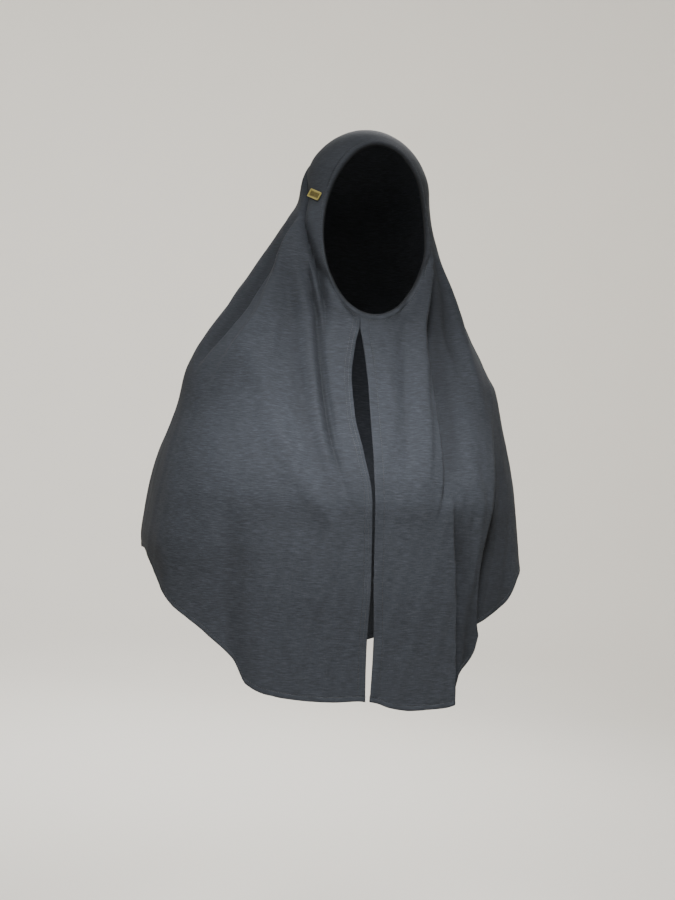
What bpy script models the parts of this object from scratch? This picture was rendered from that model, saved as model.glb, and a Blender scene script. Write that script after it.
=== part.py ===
"""Instant hijab: a hood with a shoulder cape, as it hangs when worn.

Metres, +Z up. The wearer faces -Y and +X is the wearer's left. The origin is on the inside of
the crown, where the hood sits on the head. A point of the cloth is given by its angle about the
crown's vertical, 0 at the front, and by its run down from the crown.
"""
import math
from collections import namedtuple

import bmesh
import bpy
import numpy as np
from mathutils import Matrix, Vector

# Cloth and hems
WALL = 0.0012
GAP = 0.0003
BAND_WIDTH = 0.0095
BAND_THICKNESS = 0.0024
RIGHT_FACING_WIDTH = 0.011
LEFT_FACING_WIDTH = 0.013
FACING_THICKNESS = 0.0022
HEM_WIDTH = 0.0075
HEM_THICKNESS = 0.0022
EDGE_CROWN = 0.0003

# Main sizes of the cape: crown to the level of the lowest hem, elbow to elbow, front to back
LENGTH = 0.722
WIDTH = 0.474
DEPTH = 0.289

# The hood at the head's widest level: drop below the crown, then reach to the sides
HEAD_DROP = 0.092
HEAD_SIDE = 0.083
HEAD_FRONT = 0.088
HEAD_BACK = 0.096

# Face opening, and where its seam lies under the chin
FACE_TOP = 0.031
FACE_LOW = 0.2385
FACE_HALF_WIDTH = 0.0650
FACE_EGG = 0.05
FACE_SHIFT = -0.002
SEAM_TURN = 13.0

# Front slit, folds and the label plate; the slit turns the cloth aside from this share round it
SLIT_FROM = 0.6
SLIT_GAP = 0.019
SLIT_SWAY = 0.0068
FOLD_WIDTH = 0.020
FOLD_DEPTH = 0.010
FOLD_RISE = 4.0
FOLD_FALL = 3.0
PLEAT_ANGLE = 43.6
PLEAT_HALF = 3.2
PLEAT_EDGE = 1.6
PLATE_LENGTH = 0.0240
PLATE_HEIGHT = 0.0104
PLATE_THICKNESS = 0.0012
PLATE_RIM = 0.0015
PLATE_DISH = 0.0006
PLATE_ANGLE = -60.0
PLATE_DROP = 0.097
PLATE_TURN = 22.0

# Colours and roughness
SLATE = (0.060, 0.067, 0.078)
SLATE_HEM = (0.045, 0.050, 0.058)
CLOTH_ROUGHNESS = 0.9
BRASS = (0.36, 0.30, 0.11)
BRASS_ROUGHNESS = 0.35

# How finely the cloth is faceted and measured
COLUMNS = 78
ROWS = 26
ROW_CLOSENESS = 1.12
HEM_ROW = -3
HEAD_STEPS = 6
LINE_STEPS = 120
PLATE_STEPS = 5
SMALL_STEP = 0.001
SHARE_STEP = 0.02
TINY = 1e-9
SHARP_ANGLE = 50.0

# Levels of the drape below the head: drop is a share of LENGTH, right and left are shares of
# WIDTH, and front and back are shares of DEPTH
Level = namedtuple("Level", "drop right left front back")
LEVELS = (
    Level(0.440, 0.447, 0.399, 0.350, 0.395),
    Level(0.645, 0.518, 0.458, 0.550, 0.447),
    Level(0.720, 0.530, 0.478, 0.543, 0.457),
    Level(1.000, 0.513, 0.523, 0.490, 0.491),
)

# Rings between two levels: every column but the last is the share of the way from the level
# above to the one below it, and square is the power of the ring's rounded-square outline
Ring = namedtuple("Ring", "above drop right left front back square")
RINGS = (
    Ring(0, 0.00, 0.00, 0.00, 0.00, 0.00, 2.00),
    Ring(0, 0.18, 0.17, 0.10, -0.20, 0.05, 2.00),
    Ring(0, 0.36, 0.36, 0.26, -0.50, 0.14, 2.00),
    Ring(0, 0.52, 0.53, 0.44, -0.72, 0.30, 2.00),
    Ring(0, 0.66, 0.68, 0.59, -0.72, 0.46, 2.00),
    Ring(0, 0.80, 0.84, 0.76, -0.25, 0.64, 2.05),
    Ring(0, 0.92, 0.95, 0.90, 0.50, 0.84, 2.10),
    Ring(1, 0.00, 0.00, 0.00, 0.00, 0.00, 2.10),
    Ring(1, 0.30, 0.24, 0.38, 0.34, 0.40, 2.20),
    Ring(1, 0.62, 0.66, 0.72, 0.74, 0.76, 2.30),
    Ring(1, 0.84, 0.90, 0.90, 0.94, 0.90, 2.35),
    Ring(2, 0.00, 0.00, 0.00, 0.00, 0.00, 2.40),
    Ring(2, 0.50, 0.60, 0.46, 0.65, 0.50, 2.40),
    Ring(3, 0.00, 0.00, 0.00, 0.00, 0.00, 2.40),
    Ring(3, 0.20, 0.65, 0.36, 0.10, 0.20, 2.40),
    Ring(3, 0.50, 0.85, 0.70, 0.45, 0.60, 2.40),
    Ring(3, 1.00, 1.00, 1.00, 1.00, 1.00, 2.40),
    Ring(3, 1.15, 1.02, 1.04, 1.10, 1.10, 2.40),
)

# Lower edge: the drop at each angle about the crown, as a share of LENGTH
HemPoint = namedtuple("HemPoint", "angle drop")
HEM_LINE = (
    HemPoint(-180.0, 0.945),
    HemPoint(-150.0, 0.925),
    HemPoint(-122.0, 0.830),
    HemPoint(-102.0, 0.748),
    HemPoint(-90.0, 0.744),
    HemPoint(-80.0, 0.774),
    HemPoint(-70.0, 0.818),
    HemPoint(-59.0, 0.860),
    HemPoint(-51.5, 0.898),
    HemPoint(-47.0, 0.934),
    HemPoint(-41.0, 0.949),
    HemPoint(-29.0, 0.956),
    HemPoint(-15.0, 0.958),
    HemPoint(0.0, 0.957),
    HemPoint(15.0, 0.970),
    HemPoint(PLEAT_ANGLE - PLEAT_HALF - PLEAT_EDGE, 0.963),
    HemPoint(PLEAT_ANGLE - PLEAT_HALF + PLEAT_EDGE, 0.914),
    HemPoint(PLEAT_ANGLE + PLEAT_HALF - PLEAT_EDGE, 0.885),
    HemPoint(PLEAT_ANGLE + PLEAT_HALF + PLEAT_EDGE, 0.838),
    HemPoint(54.0, 0.818),
    HemPoint(60.0, 0.795),
    HemPoint(67.0, 0.756),
    HemPoint(76.0, 0.739),
    HemPoint(95.0, 0.748),
    HemPoint(120.0, 0.850),
    HemPoint(150.0, 0.925),
    HemPoint(180.0, 0.945),
)

# Slit: share of its length down from the chin, half the gap and sideways sway
SlitRow = namedtuple("SlitRow", "down open sway")
SLIT = (
    SlitRow(0.00, 0.00, 0.00),
    SlitRow(0.045, 0.00, -0.30),
    SlitRow(0.10, 0.42, -0.60),
    SlitRow(0.22, 1.00, -1.00),
    SlitRow(0.30, 0.96, -1.00),
    SlitRow(0.40, 0.55, -0.65),
    SlitRow(0.50, 0.18, -0.32),
    SlitRow(0.70, 0.15, -0.25),
    SlitRow(0.86, 0.40, -0.12),
    SlitRow(1.00, 0.28, 0.00),
)

# Folds: top and low are drops as shares of LENGTH, the angles are where the fold starts and
# ends, bend bows its path sideways in degrees, width and depth are shares of FOLD_WIDTH and
# FOLD_DEPTH (a valley is negative), crisp sharpens it and skew leans it to the left side
Fold = namedtuple("Fold", "top low start end bend width depth crisp skew")
FOLDS = (
    # wearer's right side, from the temple down to the chest
    Fold(0.05, 0.70, -92, -10, 12, 0.60, -0.90, 1.5, 0.2),
    Fold(0.18, 0.68, -68, -16, 2, 0.70, 0.55, 2.0, -0.3),
    Fold(0.20, 0.70, -72, -12, -1, 0.80, -0.80, 1.8, 0.0),
    Fold(0.36, 0.72, -72, -13, -1, 0.80, 0.45, 1.8, 0.0),
    Fold(0.13, 0.50, -66, -73, 0, 0.70, 0.80, 1.8, 0.3),
    Fold(0.16, 0.46, -73, -84, 0, 0.70, -0.90, 1.8, 0.0),
    Fold(0.60, 1.20, -53, -49, 0, 0.90, -0.55, 2.0, 0.2),
    Fold(0.62, 1.20, -72, -66, 0, 1.30, 0.50, 2.0, 0.0),
    # wearer's left side
    Fold(0.10, 0.68, 64, 23, 0, 0.90, -1.20, 1.8, 0.4),
    Fold(0.12, 0.68, 62, 13, -1, 0.60, 0.50, 1.8, 0.0),
    Fold(0.16, 0.52, 78, 56, 3, 0.60, 0.60, 1.8, 0.0),
    Fold(0.28, 0.64, 33, 9, -2, 0.60, -0.45, 1.8, 0.0),
    Fold(0.44, 1.25, 76, 112, -46, 1.10, -1.10, 2.0, 0.5),
    Fold(0.60, 1.25, 31, 50, 0, 0.80, -1.00, 2.0, 0.4),
    Fold(0.60, 1.20, 78, 74, 0, 1.10, -0.60, 2.0, 0.0),
    # sides and back, finished plainly
    Fold(0.45, 1.20, -104, -100, 0, 1.60, 0.70, 2.0, 0.0),
    Fold(0.40, 1.20, -126, -122, 0, 1.60, -0.80, 2.0, 0.0),
    Fold(0.34, 1.20, -150, -146, 0, 1.70, 0.90, 2.0, 0.0),
    Fold(0.40, 1.20, -172, -170, 0, 1.60, -0.70, 2.0, 0.0),
    Fold(0.36, 1.20, 166, 168, 0, 1.60, 0.80, 2.0, 0.0),
    Fold(0.42, 1.20, 144, 146, 0, 1.60, -0.80, 2.0, 0.0),
    Fold(0.38, 1.20, 122, 124, 0, 1.60, 0.90, 2.0, 0.0),
    Fold(0.50, 1.20, 100, 102, 0, 1.40, -0.60, 2.0, 0.0),
)


def smooth_curve(xs, ys, x):
    """Curve through the rows of a table that never overshoots them."""
    steps = np.diff(xs)
    rise = np.diff(ys) / steps
    slope = np.zeros(len(ys))
    same = rise[:-1] * rise[1:] > 0
    before = 2 * steps[1:] + steps[:-1]
    after = steps[1:] + 2 * steps[:-1]
    safe = np.where(same, rise[:-1] * rise[1:], 1.0)
    mean = (before + after) * safe / np.where(same, before * rise[1:] + after * rise[:-1], 1.0)
    slope[1:-1] = np.where(same, mean, 0.0)
    slope[0], slope[-1] = rise[0], rise[-1]
    k = np.clip(np.searchsorted(xs, x) - 1, 0, len(steps) - 1)
    s = np.clip((x - xs[k]) / steps[k], 0, 1)
    return (
        (1 + 2 * s) * (1 - s) ** 2 * ys[k]
        + s * (1 - s) ** 2 * steps[k] * slope[k]
        + s * s * (3 - 2 * s) * ys[k + 1]
        + s * s * (s - 1) * steps[k] * slope[k + 1]
    )


def ease(x):
    """Soft step from 0 to 1."""
    x = np.clip(x, 0, 1)
    return x * x * (3 - 2 * x)


def ring_table():
    """All rings from the crown down, and their run from the crown."""
    full = Level(LENGTH, WIDTH, WIDTH, DEPTH, DEPTH)
    levels = [Level(HEAD_DROP, HEAD_SIDE, HEAD_SIDE, HEAD_FRONT, HEAD_BACK)]
    levels += [[share * size for share, size in zip(level, full)] for level in LEVELS]
    rows = []
    for k in range(HEAD_STEPS):
        turn = 0.5 * math.pi * k / HEAD_STEPS
        reach = math.sin(turn)
        rows.append((HEAD_DROP * (1 - math.cos(turn)), HEAD_SIDE * reach, HEAD_SIDE * reach,
                     HEAD_FRONT * reach, HEAD_BACK * reach, 2.0))
    for ring in RINGS:
        top, low = levels[ring.above], levels[ring.above + 1]
        shares = ring[1:6]
        rows.append([a + (b - a) * share for a, b, share in zip(top, low, shares)] + [ring.square])
    rows = np.array(rows)
    steps = np.hypot(np.diff(rows[:, 0]), np.diff(rows[:, 1]))
    return np.concatenate([[0], np.cumsum(steps)]), rows


RUN, RING_ROWS = ring_table()


def drape(angle, run):
    """Outer face of the smooth drape, with no folds."""
    drop, right, left, front, back, square = [smooth_curve(RUN, RING_ROWS[:, k], run) for k in range(6)]
    side, fore = np.sin(angle), np.cos(angle)
    width = np.maximum(np.where(side < 0, right, left), TINY)
    depth = np.maximum(np.where(fore > 0, front, back), TINY)
    reach = (np.abs(side / width) ** square + np.abs(fore / depth) ** square) ** (-1 / square)
    return np.stack([reach * side, -reach * fore, WALL - drop], -1)


def drape_normal(angle, run):
    """Outward direction of the smooth drape."""
    return outward(angle, run, drape)


def fold_height(angle, drop, reach):
    """How far the folds lift the cloth off the smooth drape."""
    height = np.zeros_like(angle)
    for fold in FOLDS:
        along = (drop / LENGTH - fold.top) / (fold.low - fold.top)
        path = np.clip(along, 0, 1)
        centre = fold.start + (fold.end - fold.start) * path + 4 * fold.bend * path * (1 - path)
        turn = np.remainder(angle - np.radians(centre) + math.pi, 2 * math.pi) - math.pi
        across = turn * reach / (FOLD_WIDTH * fold.width)
        across = across / (1 + fold.skew * np.sign(across))
        fade = ease(FOLD_RISE * along) * ease(FOLD_FALL * (1 - along))
        height += FOLD_DEPTH * fold.depth * fade * np.exp(-np.abs(across) ** fold.crisp)
    return height


def cloth(angle, run):
    """Point of the folded cloth's outer face."""
    base = drape(angle, run)
    reach = np.linalg.norm(base[..., :2], axis=-1)
    height = fold_height(angle, WALL - base[..., 2], reach)
    return base + drape_normal(angle, run) * height[..., None]


def outward(angle, run, surface=cloth):
    """Outward direction of the folded cloth."""
    run = np.maximum(run, 2 * SMALL_STEP)
    reach = np.linalg.norm(drape(angle, run)[..., :2], axis=-1)
    turn = SMALL_STEP / np.maximum(reach, SMALL_STEP)
    across = surface(angle + turn, run) - surface(angle - turn, run)
    down = surface(angle, run + SMALL_STEP) - surface(angle, run - SMALL_STEP)
    normal = np.cross(down, across)
    return normal / np.linalg.norm(normal, axis=-1, keepdims=True)


def face_edge(share):
    """Pattern point of the face opening, share -1 to 1 round from seam to seam."""
    turn = math.pi * share + math.radians(SEAM_TURN)
    middle = 0.5 * (FACE_TOP + FACE_LOW)
    drop = middle - 0.5 * (FACE_LOW - FACE_TOP) * np.cos(turn)
    x = FACE_SHIFT + FACE_HALF_WIDTH * np.sin(turn) * (1 - FACE_EGG * np.cos(turn))
    run = smooth_curve(RING_ROWS[:, 0], RUN, drop)
    _, right, left, front, _, square = [smooth_curve(RUN, RING_ROWS[:, k], run) for k in range(6)]
    width = np.where(x < 0, right, left)
    y = front * (1 - np.abs(x / width) ** square) ** (1 / square)
    angle = np.arctan2(x, y)
    return run * np.sin(angle), run * np.cos(angle)


def hem_edge(share):
    """Pattern point of the lower edge, share -1 to 1 round by the back."""
    turn = np.where(share < 0, -1, 1) * 180.0 * (1 - np.abs(share))
    table = np.array(HEM_LINE)
    drop = LENGTH * smooth_curve(table[:, 0], table[:, 1], turn)
    run = smooth_curve(RING_ROWS[:, 0], RUN, drop)
    angle = np.radians(turn)
    return run * np.sin(angle), run * np.cos(angle)


def pattern_line(share, down):
    """angle and run of the cloth: share round the opening, down from face edge 0 to hem 1."""
    face, hem = face_edge(share), hem_edge(share)
    side, fore = [a + (b - a) * down for a, b in zip(face, hem)]
    run = np.hypot(side, fore)
    angle = np.arctan2(side, fore)
    reach = np.linalg.norm(drape(angle, run)[..., :2], axis=-1)
    table = np.array(SLIT)
    opening = 0.5 * (GAP + SLIT_GAP * smooth_curve(table[:, 0], table[:, 1], down))
    sway = SLIT_SWAY * smooth_curve(table[:, 0], table[:, 2], down)
    near = ease((np.abs(share) - SLIT_FROM) / (1 - SLIT_FROM))
    return angle + near * (sway + np.sign(share) * opening) / reach, run


def surface(share, down):
    """Point of the cloth's outer face by its place in the pattern."""
    return cloth(*pattern_line(share, down))


def down_from_face(share, distances):
    """Pattern places on each line at distances from its start, measured along the cloth."""
    places = np.linspace(0, 1, LINE_STEPS)
    points = surface(share[:, None], places[None, :])
    lengths = np.cumsum(np.linalg.norm(np.diff(points, axis=1), axis=-1), axis=1)
    lengths = np.concatenate([np.zeros((len(share), 1)), lengths], axis=1)
    wanted = distances(lengths[:, -1:])
    return np.array([np.interp(row, length, places) for row, length in zip(wanted, lengths)])


def row_distances(total):
    """Distances of the rows from the face edge: the band, the main cloth, then the hem."""
    band = np.array([0.0, 0.5]) * BAND_WIDTH + 0 * total
    along = np.linspace(0, 1, ROWS + 1) ** ROW_CLOSENESS
    main = BAND_WIDTH + (total - BAND_WIDTH - HEM_WIDTH) * along
    hem = total - np.array([0.5, 0.0]) * HEM_WIDTH
    return np.concatenate([band, main, hem], axis=1)


def main_columns():
    """Even columns round the cloth, with a few more where the pleat steps the lower edge."""
    even = np.linspace(-1, 1, COLUMNS + 1)
    middles = PLEAT_ANGLE + np.array([-1.0, 1.0]) * PLEAT_HALF
    edges = middles[:, None] + np.array([-1.0, 0.0, 1.0]) * PLEAT_EDGE
    steps = 1 - edges.ravel() / 180
    near = np.min(np.abs(even[:, None] - steps[None, :]), axis=1)
    return np.sort(np.concatenate([even[near > 0.5 / COLUMNS], steps]))


def edge_share(side, down, distance):
    """Share of the line that lies a distance in from the slit's edge on one side."""
    edge = surface(side * np.ones_like(down), down)
    inner = surface(side * (1 - SHARE_STEP) * np.ones_like(down), down)
    speed = np.linalg.norm(edge - inner, axis=-1) / SHARE_STEP
    return side * (1 - distance / speed)


def cloth_lattice():
    """Points and outward directions of the whole cloth, columns round it and rows down it.

    Where the hem meets the cloth its wall follows the smooth drape, which keeps the seam's faces
    from twisting into each other in the pleat.
    """
    columns = main_columns()
    down = down_from_face(columns, row_distances)
    right = edge_share(-1, down, RIGHT_FACING_WIDTH)
    left = edge_share(1, down, LEFT_FACING_WIDTH)
    share = np.abs(columns[:, None]) * np.where(columns[:, None] < 0, right, left)
    first, last = down[0], down[-1]
    right_facing = [edge_share(-1, first, RIGHT_FACING_WIDTH * part) for part in (0.0, 0.5)]
    left_facing = [edge_share(1, last, LEFT_FACING_WIDTH * part) for part in (0.5, 0.0)]
    share = np.concatenate([right_facing, share, left_facing])
    down = np.concatenate([[first, first], down, [last, last]])
    angle, run = pattern_line(share, down)
    normals = outward(angle, run)
    normals[:, HEM_ROW] = drape_normal(angle[:, HEM_ROW], run[:, HEM_ROW])
    return cloth(angle, run), normals


def draw_in(line, inner, normals):
    """Edge line of a piece moved half a gap into the piece, along the cloth."""
    side = np.cross(normals, np.gradient(line, axis=0))
    side /= np.linalg.norm(side, axis=-1, keepdims=True)
    side *= np.sign(np.sum(side * (inner - line), axis=-1, keepdims=True))
    return line + 0.5 * GAP * side


def cut_piece(lattice, columns, rows, thickness, seams, crown=None):
    """Outer and inner faces of one block of the lattice, with gaps at the seams it shares."""
    points, normals = [grid[columns, rows].copy() for grid in lattice]
    for seam in seams:
        sideways = seam in ("right", "left")
        grid = points.transpose(1, 0, 2) if sideways else points
        facing = normals.transpose(1, 0, 2) if sideways else normals
        edge, inner = (0, 1) if seam in ("top", "right") else (-1, -2)
        grid[:, edge] = draw_in(grid[:, edge], grid[:, inner], facing[:, edge])
    lift = 0.5 * (thickness - WALL)
    bulge = 0.0
    if crown:
        middle = np.array([0.0, 1.0, 0.0]) * EDGE_CROWN
        bulge = (middle[None, :] if crown == "rows" else middle[:, None])[..., None]
    return points + normals * (lift + bulge), points + normals * (lift - thickness)


def make_material(name, colour, roughness, metallic=0.0):
    material = bpy.data.materials.new(name)
    material.use_nodes = True
    shader = material.node_tree.nodes["Principled BSDF"]
    shader.inputs["Base Color"].default_value = (*colour, 1.0)
    shader.inputs["Roughness"].default_value = roughness
    shader.inputs["Metallic"].default_value = metallic
    return material


def add_object(name, mesh, material):
    mesh.materials.append(material)
    item = bpy.data.objects.new(name, mesh)
    bpy.context.scene.collection.objects.link(item)
    return item


def rim_steps(columns, rows, closed):
    """Steps along the free edges of a grid, in the turning sense of its faces."""
    last = rows - 1
    if closed:
        ring = [(i, (i + 1) % columns) for i in range(columns)]
        return [((i, 0), (j, 0)) for i, j in ring] + [((j, last), (i, last)) for i, j in ring]
    path = [(i, 0) for i in range(columns)]
    path += [(columns - 1, k) for k in range(1, rows)]
    path += [(i, last) for i in range(columns - 2, -1, -1)]
    path += [(0, k) for k in range(last - 1, 0, -1)]
    return list(zip(path, path[1:] + path[:1]))


def cloth_piece(name, walls, material, closed=False):
    """Solid between the outer and inner faces of a cloth wall, each a grid of points."""
    build = bmesh.new()
    outer, inner = [[[build.verts.new(point) for point in line] for line in grid] for grid in walls]
    columns, rows = len(outer), len(outer[0])
    for i in range(columns if closed else columns - 1):
        j = (i + 1) % columns
        for k in range(rows - 1):
            build.faces.new((outer[i][k], outer[j][k], outer[j][k + 1], outer[i][k + 1]))
            build.faces.new((inner[i][k + 1], inner[j][k + 1], inner[j][k], inner[i][k]))
    for (i, k), (j, m) in rim_steps(columns, rows, closed):
        build.faces.new((outer[j][m], outer[i][k], inner[i][k], inner[j][m]))
    mesh = bpy.data.meshes.new(name)
    build.to_mesh(mesh)
    build.free()
    mesh.shade_smooth()
    mesh.set_sharp_from_angle(angle=math.radians(SHARP_ANGLE))
    return add_object(name, mesh, material)


def label_plate(material):
    """Blank metal plate with a raised rim, lying on the cloth beside the temple."""
    angle = np.array(math.radians(PLATE_ANGLE))
    run = smooth_curve(RING_ROWS[:, 0], RUN, PLATE_DROP)
    centre = cloth(angle, run)
    normal = Vector(outward(angle, run))
    across = Vector((0, 0, 1)).cross(normal).normalized()
    turn = Matrix.Rotation(math.radians(-PLATE_TURN), 3, normal)
    along, up = turn @ across, turn @ normal.cross(across)
    reach = math.hypot(centre[0], centre[1])
    spread = np.linspace(-0.5, 0.5, PLATE_STEPS) * PLATE_LENGTH
    sweep, drop = np.meshgrid(spread, spread)
    under = cloth(angle + sweep / reach, run + drop)
    seat = max(Vector(point - centre).dot(normal) for point in under.reshape(-1, 3)) + GAP
    mesh = bpy.data.meshes.new("label_plate")
    build = bmesh.new()
    bmesh.ops.create_cube(build, size=1.0)
    size = Matrix.Diagonal((PLATE_LENGTH, PLATE_HEIGHT, PLATE_THICKNESS, 1.0))
    bmesh.ops.transform(build, matrix=size, verts=build.verts)
    top = max(build.faces, key=lambda face: face.calc_center_median().z)
    bmesh.ops.inset_individual(build, faces=[top], thickness=PLATE_RIM, depth=0.0)
    bmesh.ops.translate(build, verts=top.verts, vec=(0, 0, -PLATE_DISH))
    build.to_mesh(mesh)
    build.free()
    item = add_object("label_plate", mesh, material)
    place = Matrix((along, up, normal)).transposed().to_4x4()
    place.translation = Vector(centre) + normal * (seat + 0.5 * PLATE_THICKNESS)
    item.matrix_world = place
    return item


def main():
    for item in list(bpy.data.objects):
        bpy.data.objects.remove(item)
    slate = make_material("slate jersey", SLATE, CLOTH_ROUGHNESS)
    hem = make_material("slate jersey hem", SLATE_HEM, CLOTH_ROUGHNESS)
    brass = make_material("aged brass", BRASS, BRASS_ROUGHNESS, 1.0)
    lattice = cloth_lattice()
    first, middle, last = slice(0, 3), slice(2, -2), slice(-3, None)
    veil = cut_piece(lattice, middle, middle, WALL, ("top", "low", "right", "left"))
    cloth_piece("veil", veil, slate)
    band = cut_piece(lattice, slice(0, -1), first, BAND_THICKNESS, ("low",), "rows")
    cloth_piece("face_band", band, hem, closed=True)
    facing = cut_piece(lattice, first, middle, FACING_THICKNESS, ("top", "low", "left"), "columns")
    cloth_piece("slit_hem_right", facing, hem)
    facing = cut_piece(lattice, last, middle, FACING_THICKNESS, ("top", "low", "right"), "columns")
    cloth_piece("slit_hem_left", facing, hem)
    edge = cut_piece(lattice, slice(None), last, HEM_THICKNESS, ("top",), "rows")
    cloth_piece("bottom_hem", edge, hem)
    label_plate(brass)


main()
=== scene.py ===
"""Looks of the instant hijab: crepe jersey, stitched edges, a blank label plate and the stage.

Metres, +Z up. The wearer faces -Y, and the origin is inside the crown. A point of the cloth is
given by its angle about the crown's vertical, 0 at the front, and by its run down from the crown.
"""
import math
from collections import namedtuple

import bmesh
import bpy
import numpy as np
from bpy.props import FloatProperty, FloatVectorProperty, IntProperty, PointerProperty
from mathutils import Color, Matrix, Vector


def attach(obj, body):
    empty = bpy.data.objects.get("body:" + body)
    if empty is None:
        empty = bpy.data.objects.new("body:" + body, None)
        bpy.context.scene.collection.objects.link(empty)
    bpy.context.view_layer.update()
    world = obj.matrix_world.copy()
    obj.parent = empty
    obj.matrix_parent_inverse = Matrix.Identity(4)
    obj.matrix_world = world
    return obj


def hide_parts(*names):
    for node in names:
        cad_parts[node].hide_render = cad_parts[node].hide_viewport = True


bl_info = {
    "name": "Instant hijab looks",
    "version": (1, 0, 0),
    "blender": (4, 5, 0),
    "location": "3D View > Sidebar > Hijab",
    "description": "Draped crepe cloth, turned edges, stitches, a label plate and a plain stage",
    "category": "Add Mesh",
}

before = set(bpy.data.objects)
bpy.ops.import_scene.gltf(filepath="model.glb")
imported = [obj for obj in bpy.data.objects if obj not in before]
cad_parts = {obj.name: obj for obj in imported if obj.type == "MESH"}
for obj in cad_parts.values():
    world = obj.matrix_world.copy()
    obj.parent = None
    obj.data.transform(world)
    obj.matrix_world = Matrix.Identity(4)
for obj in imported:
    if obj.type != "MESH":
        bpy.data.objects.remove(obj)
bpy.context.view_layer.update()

# Levels of the drape below the head: drop is a share of the length, right and left are shares
# of the width, and front and back are shares of the depth
Level = namedtuple("Level", "drop right left front back")
LEVELS = tuple(Level(*row) for row in (
    (0.440, 0.447, 0.399, 0.350, 0.395),
    (0.645, 0.518, 0.458, 0.550, 0.447),
    (0.720, 0.530, 0.478, 0.543, 0.457),
    (1.000, 0.513, 0.523, 0.490, 0.491),
))

# Rings between two levels, of which above counts from the head's own level 0. The next columns
# are shares of the way down to the next level, and square is the power of the ring's outline
Ring = namedtuple("Ring", "above drop right left front back square")
RINGS = tuple(Ring(*row) for row in (
    (0, 0.00, 0.00, 0.00, 0.00, 0.00, 2.00),
    (0, 0.18, 0.17, 0.10, -0.20, 0.05, 2.00),
    (0, 0.36, 0.36, 0.26, -0.50, 0.14, 2.00),
    (0, 0.52, 0.53, 0.44, -0.72, 0.30, 2.00),
    (0, 0.66, 0.68, 0.59, -0.72, 0.46, 2.00),
    (0, 0.80, 0.84, 0.76, -0.25, 0.64, 2.05),
    (0, 0.92, 0.95, 0.90, 0.50, 0.84, 2.10),
    (1, 0.00, 0.00, 0.00, 0.00, 0.00, 2.10),
    (1, 0.30, 0.24, 0.38, 0.34, 0.40, 2.20),
    (1, 0.62, 0.66, 0.72, 0.74, 0.76, 2.30),
    (1, 0.84, 0.90, 0.90, 0.94, 0.90, 2.35),
    (2, 0.00, 0.00, 0.00, 0.00, 0.00, 2.40),
    (2, 0.50, 0.60, 0.46, 0.65, 0.50, 2.40),
    (3, 0.00, 0.00, 0.00, 0.00, 0.00, 2.40),
    (3, 0.20, 0.65, 0.36, 0.10, 0.20, 2.40),
    (3, 0.50, 0.85, 0.70, 0.45, 0.60, 2.40),
    (3, 1.00, 1.00, 1.00, 1.00, 1.00, 2.40),
    (3, 1.15, 1.02, 1.04, 1.10, 1.10, 2.40),
))
HEAD_STEPS = 6

# A fold rises over the first quarter of its run and fades over the last third
FOLD_RISE = 4
FOLD_FADE = 3

# The two steps in the lower edge where the front panel laps over the side, in degrees, with the
# columns of faces that run near each one
FIRST_STEP = 40.4
SECOND_STEP = 46.7
STEP_HALF = 0.6
STEP_REACH = 2
STEP_COLUMNS = 20
COLUMN_GAP = 0.002

# Lower edge: angle about the crown in degrees, and drop as a share of the length
HEM_LINE = np.array((
    (-180.0, 0.945), (-170.0, 0.944), (-150.0, 0.925), (-122.0, 0.830), (-102.0, 0.748),
    (-90.0, 0.744), (-80.0, 0.774), (-70.0, 0.818), (-59.0, 0.860), (-51.5, 0.898),
    (-47.5, 0.936), (-41.0, 0.949), (-29.0, 0.956), (-15.0, 0.958), (-3.0, 0.956), (3.0, 0.959),
    (10.0, 0.967), (20.0, 0.972), (32.0, 0.970),
    (FIRST_STEP - STEP_HALF, 0.962),
    (FIRST_STEP + STEP_HALF, 0.918),
    (43.8, 0.903),
    (SECOND_STEP - STEP_HALF, 0.880),
    (SECOND_STEP + STEP_HALF, 0.842),
    (50.0, 0.832), (54.0, 0.818), (60.0, 0.795), (67.0, 0.756), (76.0, 0.739), (95.0, 0.748),
    (120.0, 0.850), (150.0, 0.925), (170.0, 0.944), (180.0, 0.945),
))

# Slit: share of its length down from the chin, then its opening and sway as shares of the full ones
SLIT = np.array((
    (0.00, 0.00, 0.00),
    (0.045, 0.00, -0.30),
    (0.10, 0.42, -0.60),
    (0.22, 1.00, -1.00),
    (0.30, 0.96, -1.00),
    (0.40, 0.55, -0.65),
    (0.50, 0.18, -0.32),
    (0.70, 0.15, -0.25),
    (0.86, 0.40, -0.12),
    (1.00, 0.28, 0.00),
))

# Share of the way round from the back to the slit at which the slit's sway begins
SLIT_NEAR = 0.6

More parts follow.
